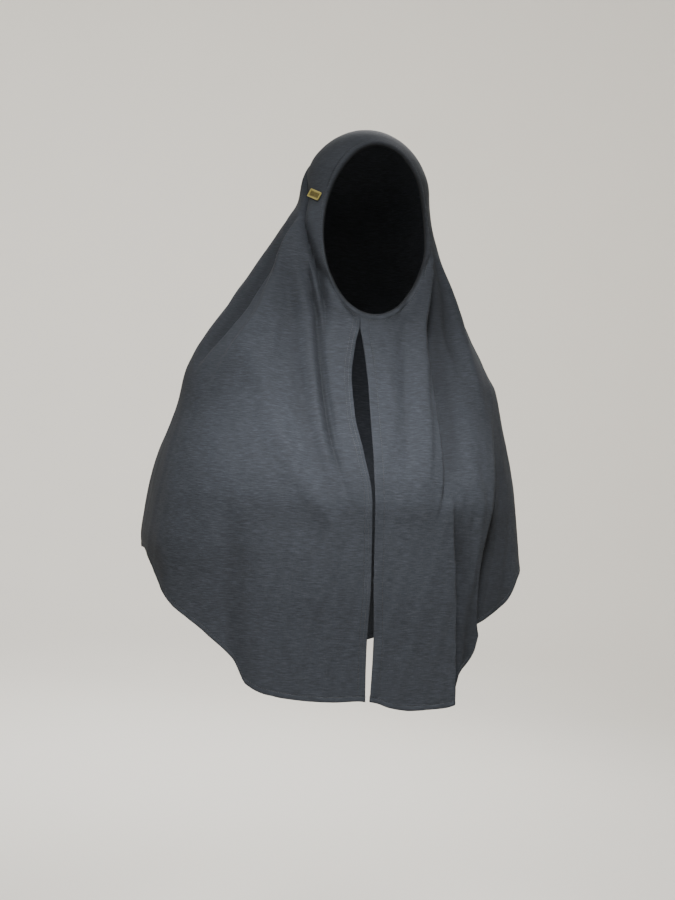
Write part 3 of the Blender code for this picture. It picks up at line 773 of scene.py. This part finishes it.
def crepe_jersey(name, colours, stitch_line=None, rim=None):
    """Matte crepe jersey, a polyester knit with an uneven yarn.

    The thick and thin yarn shows as short level streaks, about 1 mm thick and 9 mm long, a shade
    darker or lighter than the cloth. The knit's loops are about 0.5 mm, too fine to show, so the
    finest grain is drawn about 2 mm long. Deep in the folds painted shade darkens the cloth.
    stitch_line is the distance in from the free edge at which the stitches pull the cloth down,
    and painted shade darkens that groove. rim is the width over which painted shade darkens the
    free edge, where it turns away from the light.
    """
    material, tree, shader, where = new_material(name)
    weave = out(tree, "ShaderNodeUVMap", uv_map="weave")
    apart, run = add(tree, "ShaderNodeSeparateXYZ", {0: weave}).outputs[:2]
    x, y = add(tree, "ShaderNodeSeparateXYZ", {0: where}).outputs[:2]
    yarn = out(tree, "ShaderNodeCombineXYZ", {0: x, 1: y, 2: run})
    slub, grain, cloud = [noise(tree, place, texture) for place, texture in (
        (yarn, SLUB), (yarn, GRAIN), (where, CLOUD))]
    dark, light = [ramped(tree, slub, ramp, soft=True) for ramp in (DARK_YARN, LIGHT_YARN)]
    base = blend(tree, dark, colours.cloth, colours.cloth_dark)
    base = blend(tree, light, base, colours.cloth_light)
    # Painted shade in the folds: the deeper a place lies, the darker its colour
    hollow = out(tree, "ShaderNodeAttribute", output="Fac", attribute_name="hollow")
    shades = [ramped(tree, grain, GRAIN_SHADE), ramped(tree, cloud, CLOUD_SHADE),
              ramped(tree, hollow, HOLLOW_PAINTED_SHADE, soft=True)]
    # Painted shade along the stitch row's groove
    if stitch_line:
        off = calculate(tree, "ABSOLUTE", calculate(tree, "SUBTRACT", apart, stitch_line))
        shades.append(ramped(tree, off, STITCH_PAINTED_SHADE, soft=True))
    # Painted shade at the free edge, darkest right at it
    if rim:
        shades.append(ramped(tree, apart, Ramp(0.0, rim, RIM_PAINTED_SHADE, 1.0), soft=True))
    value = shades[0]
    for shade in shades[1:]:
        value = calculate(tree, "MULTIPLY", value, shade)
    fill(tree, shader, {
        "Base Color": shaded(tree, value, base),
        "Roughness": ramped(tree, slub, YARN_ROUGHNESS),
        "Normal": bumped(tree, calculate(tree, "ADD", slub, grain), JERSEY_BUMP),
        "Specular IOR Level": 0.15,
    })
    return material


def sewing_thread(colours):
    """Spun polyester thread: two plies whose twist shows as a fine slanting grain."""
    material, tree, shader, where = new_material("spun polyester thread")
    twist = noise(tree, where, TWIST)
    fill(tree, shader, {
        "Base Color": shaded(tree, ramped(tree, twist, TWIST_SHADE), colours.thread),
        "Roughness": 0.6,
        "Normal": bumped(tree, twist, THREAD_BUMP),
    })
    return material


def aged_brass(colours, sizes):
    """Stamped brass sheet, finely brushed, stained with tarnish; painted shade darkens its dish."""
    material, tree, shader, where = new_material("stamped aged brass")
    flat = out(tree, "ShaderNodeUVMap", uv_map="plate")
    place = add(tree, "ShaderNodeSeparateXYZ", {0: flat}).outputs
    inside = []
    for output, size in zip(place, (sizes.width, sizes.height)):
        off = calculate(tree, "ABSOLUTE", output)
        inside.append(calculate(tree, "SUBTRACT", 0.5 * size - sizes.rim, off))
    # Painted shade darkens the dished face inside the rim; the stain adds random tarnish
    edge = Ramp(-0.5 * sizes.rim, sizes.rim, 0.0, 1.0)
    dish = ramped(tree, calculate(tree, "MINIMUM", *inside), edge)
    stain = noise(tree, where, STAIN)
    stain_and_painted_shade = calculate(tree, "ADD", ramped(tree, stain, STAIN_SHADE), dish, use_clamp=True)
    fill(tree, shader, {
        "Base Color": blend(tree, stain_and_painted_shade, colours.metal, colours.metal_tarnish_and_shade),
        "Roughness": ramped(tree, stain, METAL_ROUGHNESS),
        "Normal": bumped(tree, noise(tree, where, BRUSH), METAL_BUMP),
        "Metallic": 1.0,
    })
    return material


def matte_floor(colours):
    """Painted studio floor, so matte and even that only a faint mottle shows."""
    material, tree, shader, where = new_material("painted studio floor")
    mottle = ramped(tree, noise(tree, where, MOTTLE), MOTTLE_SHADE)
    fill(tree, shader, {"Base Color": shaded(tree, mottle, colours.floor), "Roughness": 0.9})
    return material


def stitch_tree():
    """Node tree that lays short rounded stitches along a line of edges."""
    tree = bpy.data.node_groups.new("Lockstitch", "GeometryNodeTree")
    tree.interface.new_socket("Geometry", in_out="OUTPUT", socket_type="NodeSocketGeometry")
    kinds = {"Geometry": "Geometry", "Stitch length": "Float", "Pitch": "Float", "Thread": "Float",
             "Material": "Material"}
    for name, kind in kinds.items():
        tree.interface.new_socket(name, in_out="INPUT", socket_type="NodeSocket" + kind)
    given = add(tree, "NodeGroupInput").outputs
    line = out(tree, "GeometryNodeMeshToCurve", {"Mesh": given["Geometry"]})
    spaced = out(tree, "GeometryNodeResampleCurve", {"Curve": line, "Length": given["Pitch"]},
                 mode="LENGTH")
    size = out(tree, "ShaderNodeCombineXYZ", {
        0: given["Thread"], 1: given["Thread"], 2: given["Stitch length"]})
    bead = out(tree, "GeometryNodeMeshUVSphere", {"Segments": 6, "Rings": 5, "Radius": 0.5})
    stitch = out(tree, "GeometryNodeTransform", {"Geometry": bead, "Scale": size})
    run = out(tree, "GeometryNodeInputTangent")
    turn = out(tree, "FunctionNodeAlignRotationToVector", {"Vector": run}, axis="Z")
    laid = out(tree, "GeometryNodeInstanceOnPoints", {
        "Points": spaced, "Instance": stitch, "Rotation": turn})
    real = out(tree, "GeometryNodeRealizeInstances", {0: laid})
    soft = out(tree, "GeometryNodeSetShadeSmooth", {0: real})
    done = out(tree, "GeometryNodeSetMaterial", {"Geometry": soft, "Material": given["Material"]})
    add(tree, "NodeGroupOutput", {0: done})
    return tree


def stitched(name, lines, sizes, material):
    """Plain mesh of stitches along lines of points, made by the stitch tree."""
    mesh = bpy.data.meshes.new(name)
    points = np.concatenate(lines)
    ends = np.cumsum([len(line) for line in lines]) - 1
    edges = [(k, k + 1) for k in range(len(points) - 1) if k not in ends]
    mesh.from_pydata(points, edges, [])
    path = put(name + "_path", mesh)
    tree = stitch_tree()
    modifier = path.modifiers.new("Lockstitch", "NODES")
    modifier.node_group = tree
    values = {"Stitch length": sizes.stitch, "Pitch": sizes.pitch, "Thread": sizes.thread,
              "Material": material}
    for socket in tree.interface.items_tree:
        if socket.in_out == "INPUT" and socket.name in values:
            modifier[socket.identifier] = values[socket.name]
    path.update_tag()
    depsgraph = bpy.context.evaluated_depsgraph_get()
    made = bpy.data.meshes.new_from_object(path.evaluated_get(depsgraph), depsgraph=depsgraph)
    bpy.data.objects.remove(path)
    return piece(name, made, material)


def edge_line(shape, share, down, place):
    """Line along a turned edge, lying in the outer face at a share of the edge's width."""
    angle, run = shape.pattern_line(share, down)
    places = [row.place for row in EDGE_PROFILE]
    height = np.interp(place, places, [row.outer for row in EDGE_PROFILE]) * shape.cloth.edge
    return shape.point(angle, run) + shape.outward(angle, run) * (height - 0.5 * shape.cloth.wall)


def settings(context):
    """The cloth's shape and the scene's settings."""
    scene = context.scene
    return HangingCloth(scene.hijab_drape, scene.hijab_cloth), scene


class HIJAB_OT_veil(bpy.types.Operator):
    """Makes the single cloth between the turned edges"""
    bl_idname = "hijab.veil"
    bl_label = "Veil"

    def execute(self, context):
        shape, scene = settings(context)
        half = 0.5 * shape.cloth.wall
        jersey = crepe_jersey("crepe jersey", scene.hijab_colours)
        item = cloth_piece("veil_cloth", shape, *main_grid(shape), (half, -half), FAR_APART, jersey)
        seat(item, "jersey", "veil")
        return {"FINISHED"}


class HIJAB_OT_edges(bpy.types.Operator):
    """Makes the turned edges: face band, two slit facings and the lower hem"""
    bl_idname = "hijab.edges"
    bl_label = "Turned edges"

    def execute(self, context):
        shape, scene = settings(context)
        self.facings(shape, scene.hijab_colours)
        self.strips(shape, scene.hijab_colours)
        return {"FINISHED"}

    def jersey(self, colours, finish, width, rim=None):
        """Jersey of an edge with a stitch row."""
        return crepe_jersey("crepe jersey, " + finish, colours, STITCH_PLACE * width, rim)

    def facings(self, shape, colours):
        """Turned edges of the slit: columns across the edge, rows down the slit."""
        down = main_grid(shape)[1]
        for name, side, width, column in (("right", -1, shape.cloth.right_facing, 0),
                                          ("left", 1, shape.cloth.left_facing, -1)):
            facing = "slit_facing_" + name
            apart = across_edge(width)[::-side]
            share = np.array([shape.edge_share(side, down[column], gap) for gap in apart])
            heights = [row[::-side, None] for row in edge_heights(shape)]
            item = cloth_piece(facing, shape, share, down[column], heights, apart[:, None],
                               self.jersey(colours, facing, width))
            seat(item, facing, "slit_hem_" + name)

    def strips(self, shape, colours):
        """Closed band round the face, and the hem from one side of the slit round to the other."""
        cloth = shape.cloth
        share = all_columns(shape, *main_grid(shape))
        band, hem = across_edge(cloth.band), across_edge(cloth.hem)[::-1]
        top, low = share[:-1, 0], share[:, -1]
        down = shape.down_from_face(top, lambda total: band + 0 * total)
        jersey = self.jersey(colours, "face band", cloth.band, RIM_SHARE * cloth.band)
        heights = edge_heights(shape, cloth.roll)
        item = cloth_piece("face_binding", shape, top[:, None], down, heights, band, jersey, True)
        seat(item, "face_binding", "face_band")
        down = shape.down_from_face(low, lambda total: total - hem)
        jersey = self.jersey(colours, "lower hem", cloth.hem)
        heights = [row[::-1] for row in edge_heights(shape)]
        item = cloth_piece("hem_binding", shape, low[:, None], down, heights, hem, jersey)
        seat(item, "hem_binding", "bottom_hem")


class HIJAB_OT_stitches(bpy.types.Operator):
    """Sews the lines of stitches along the turned edges"""
    bl_idname = "hijab.stitches"
    bl_label = "Stitches"

    def execute(self, context):
        shape, scene = settings(context)
        cloth = shape.cloth
        share, down = main_grid(shape)
        full = all_columns(shape, share, down)
        lines = []
        for side, width, column, place in ((-1, cloth.right_facing, 0, STITCH_PLACE),
                                           (-1, cloth.right_facing, 0, SECOND_STITCH_PLACE),
                                           (1, cloth.left_facing, -1, STITCH_PLACE)):
            across = shape.edge_share(side, down[column], width * place)
            lines.append(edge_line(shape, across, down[column], place))
        top = full[:-1, 0]
        band = shape.down_from_face(top, lambda total: STITCH_PLACE * cloth.band + 0 * total)[:, 0]
        lines.append(edge_line(shape, top, band, STITCH_PLACE))
        low = full[:, -1]
        hem = shape.down_from_face(low, lambda total: total - STITCH_PLACE * cloth.hem)[:, 0]
        lines.append(edge_line(shape, low, hem, STITCH_PLACE))
        thread = sewing_thread(scene.hijab_colours)
        item = stitched("edge_stitches", lines, scene.hijab_stitches, thread)
        seat(item, "hem_binding")
        return {"FINISHED"}


class HIJAB_OT_plate(bpy.types.Operator):
    """Makes the blank label plate beside the temple"""
    bl_idname = "hijab.plate"
    bl_label = "Label plate"

    def execute(self, context):
        shape, scene = settings(context)
        sizes = scene.hijab_plate
        angle, run = np.array(sizes.angle), shape.run_at(sizes.drop)
        centre, normal = shape.point(angle, run), Vector(shape.outward(angle, run))
        across = Vector((0, 0, 1)).cross(normal).normalized()
        turn = Matrix.Rotation(-sizes.turn, 3, normal)
        along, up = turn @ across, turn @ normal.cross(across)
        spread = np.linspace(-0.5, 0.5, 5) * sizes.width
        sweep, drop = np.meshgrid(spread, spread)
        under = shape.point(angle + sweep / np.hypot(centre[0], centre[1]), run + drop)
        rise = max(Vector(point - centre).dot(normal) for point in under.reshape(-1, 3))
        mesh = self.plate_mesh(sizes)
        place = Matrix((along, up, normal)).transposed().to_4x4()
        place.translation = Vector(centre) + normal * (rise + 0.5 * sizes.thickness)
        mesh.transform(place)
        item = piece("label_plate_blank", mesh, aged_brass(scene.hijab_colours, sizes))
        seat(item, "label_metal", "label_plate")
        return {"FINISHED"}

    def plate_mesh(self, sizes):
        """Flat plate with rounded corners, a raised rim and a dished face, all edges eased."""
        build = bmesh.new()
        bmesh.ops.create_cube(build, size=1.0)
        full = Matrix.Diagonal((sizes.width, sizes.height, sizes.thickness, 1.0))
        bmesh.ops.transform(build, matrix=full, verts=build.verts)
        upright = [edge for edge in build.edges
                   if abs((edge.verts[0].co - edge.verts[1].co).z) > 0.5 * sizes.thickness]
        bmesh.ops.bevel(build, geom=upright, offset=0.5 * sizes.rim, segments=4, affect="EDGES",
                        profile=0.5)
        top = max(build.faces, key=lambda face: face.calc_center_median().z)
        bmesh.ops.inset_individual(build, faces=[top], thickness=sizes.rim, depth=0.0)
        bmesh.ops.inset_individual(build, faces=[top], thickness=sizes.dish, depth=-sizes.dish)
        sharp = [edge for edge in build.edges
                 if edge.is_manifold and edge.calc_face_angle() > PLATE_EASED]
        bmesh.ops.bevel(build, geom=sharp, offset=sizes.bevel, segments=3, affect="EDGES",
                        profile=0.5, clamp_overlap=True)
        mesh = smooth_mesh("label_plate_blank", build)
        mesh.set_sharp_from_angle(angle=PLATE_SHARP)
        places = np.array([mesh.vertices[corner.vertex_index].co[:2] for corner in mesh.loops])
        mesh.uv_layers.new(name="plate").data.foreach_set("uv", places.ravel())
        return mesh


class HIJAB_OT_stage(bpy.types.Operator):
    """Sets the floor, the soft lights and the camera"""
    bl_idname = "hijab.stage"
    bl_label = "Stage"

    def execute(self, context):
        scene = context.scene
        sizes, colours = scene.hijab_stage, scene.hijab_colours
        self.floor(sizes, matte_floor(colours))
        self.lights(scene, sizes, colours)
        self.camera(scene, sizes)
        return {"FINISHED"}

    def floor(self, sizes, material):
        """Round floor that curves up into a wall all the way round, with no line between them."""
        profile = [(0.0, 0.0)]
        for k in range(COVE_STEPS + 1):
            turn = 0.5 * math.pi * k / COVE_STEPS
            profile.append((sizes.floor_size - sizes.cove * (1 - math.sin(turn)),
                            sizes.cove * (1 - math.cos(turn))))
        profile.append((sizes.floor_size, sizes.wall_height))
        build = bmesh.new()
        line = [build.verts.new((reach, 0.0, rise - sizes.floor_drop)) for reach, rise in profile]
        edges = [build.edges.new(pair) for pair in zip(line, line[1:])]
        bmesh.ops.spin(build, geom=line + edges, axis=(0, 0, 1), cent=(0, 0, 0), angle=2 * math.pi,
                       steps=FLOOR_TURNS, use_merge=True)
        bmesh.ops.remove_doubles(build, verts=build.verts, dist=0.0001)
        bmesh.ops.recalc_face_normals(build, faces=build.faces)
        bmesh.ops.reverse_faces(build, faces=build.faces)
        return piece("floor", smooth_mesh("floor", build), material)

    def lights(self, scene, sizes, colours):
        """Soft lights, the main one steep from above the front, and an even pale air."""
        for soft in LIGHTS:
            light = bpy.data.lights.new(soft.name, "AREA")
            light.size, light.spread = soft.size, math.radians(soft.spread)
            light.energy = soft.watts * sizes.light
            item = put(soft.name, light)
            item.location = soft.place
            aim = Vector(soft.aim) - item.location
            item.rotation_euler = aim.to_track_quat("-Z", "Y").to_euler()
        world = bpy.data.worlds.new("pale air")
        world.use_nodes = True
        air = world.node_tree.nodes["Background"]
        air.inputs["Color"].default_value = (*colours.floor, 1.0)
        air.inputs["Strength"].default_value = sizes.air * sizes.light
        scene.world = world

    def camera(self, scene, sizes):
        """Camera at the photograph's place, level and slightly rolled; the image is 675 by 900."""
        ahead = Vector((math.sin(sizes.turn), math.cos(sizes.turn), 0.0))
        right = Vector((math.cos(sizes.turn), -math.sin(sizes.turn), 0.0))
        up = Vector((0.0, 0.0, 1.0))
        rolled_right = right * math.cos(sizes.roll) + up * math.sin(sizes.roll)
        rolled_up = up * math.cos(sizes.roll) - right * math.sin(sizes.roll)
        lens = bpy.data.cameras.new("camera")
        lens.lens, lens.sensor_width = sizes.lens, SENSOR_WIDTH
        item = put("camera", lens)
        place = Matrix((rolled_right, rolled_up, -ahead)).transposed().to_4x4()
        place.translation = up * sizes.height - ahead * sizes.distance - right * sizes.aside
        item.matrix_world = place
        scene.camera = item


OPERATORS = (HIJAB_OT_veil, HIJAB_OT_edges, HIJAB_OT_stitches, HIJAB_OT_plate, HIJAB_OT_stage)
GROUPS = (
    ("hijab_drape", DrapeSizes),
    ("hijab_cloth", ClothSizes),
    ("hijab_stitches", StitchSizes),
    ("hijab_plate", PlateSizes),
    ("hijab_colours", FinishColours),
    ("hijab_stage", StageSizes),
)


class HIJAB_PT_panel(bpy.types.Panel):
    """Sizes, colours and pieces of the hijab"""
    bl_idname = "HIJAB_PT_panel"
    bl_label = "Instant hijab"
    bl_space_type = "VIEW_3D"
    bl_region_type = "UI"
    bl_category = "Hijab"

    def draw(self, context):
        for name, group in GROUPS:
            box = self.layout.box()
            box.label(text=group.__doc__)
            for key in group.__annotations__:
                box.prop(getattr(context.scene, name), key)
        for operator in OPERATORS:
            self.layout.operator(operator.bl_idname)


def register():
    for name, group in GROUPS:
        bpy.utils.register_class(group)
        setattr(bpy.types.Scene, name, PointerProperty(type=group))
    for item in (*OPERATORS, HIJAB_PT_panel):
        bpy.utils.register_class(item)


def unregister():
    for item in (HIJAB_PT_panel, *reversed(OPERATORS)):
        bpy.utils.unregister_class(item)
    for name, group in reversed(GROUPS):
        delattr(bpy.types.Scene, name)
        bpy.utils.unregister_class(group)


def main():
    register()
    bpy.ops.hijab.veil()
    bpy.ops.hijab.edges()
    bpy.ops.hijab.stitches()
    bpy.ops.hijab.plate()
    bpy.ops.hijab.stage()


if __name__ == "__main__":
    main()
